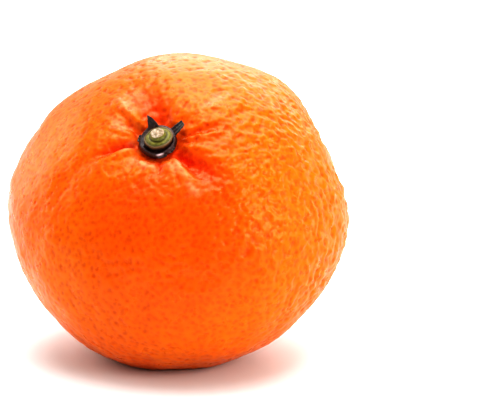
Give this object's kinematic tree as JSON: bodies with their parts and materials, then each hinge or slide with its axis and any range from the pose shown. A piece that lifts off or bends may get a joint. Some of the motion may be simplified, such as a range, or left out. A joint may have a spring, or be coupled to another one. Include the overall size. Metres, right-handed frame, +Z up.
{
  "type": "tangerine",
  "caption": "Whole ripe tangerine with a dimpled orange rind, a furrowed stem end, a dark dried calyx and a clipped green stem stub, resting on its side.",
  "frame": {"origin": "on the surface it rests on, under the middle of the part's box", "axes": "+Z up; the stem axis leans from +Z towards -Y; +X across the fruit, its longest extent"},
  "size_m": [0.0682, 0.0612, 0.0582],
  "materials": {
    "rind": "waxy orange citrus rind, finely dimpled, satin gloss",
    "calyx": "dried, dark, slightly shiny sepals",
    "stem": "olive green bark with a pale cut end"
  },
  "bodies": {
    "root": {"fruit": "rind", "calyx": "calyx", "stem_stub": "stem"}
  },
  "joints": []
}
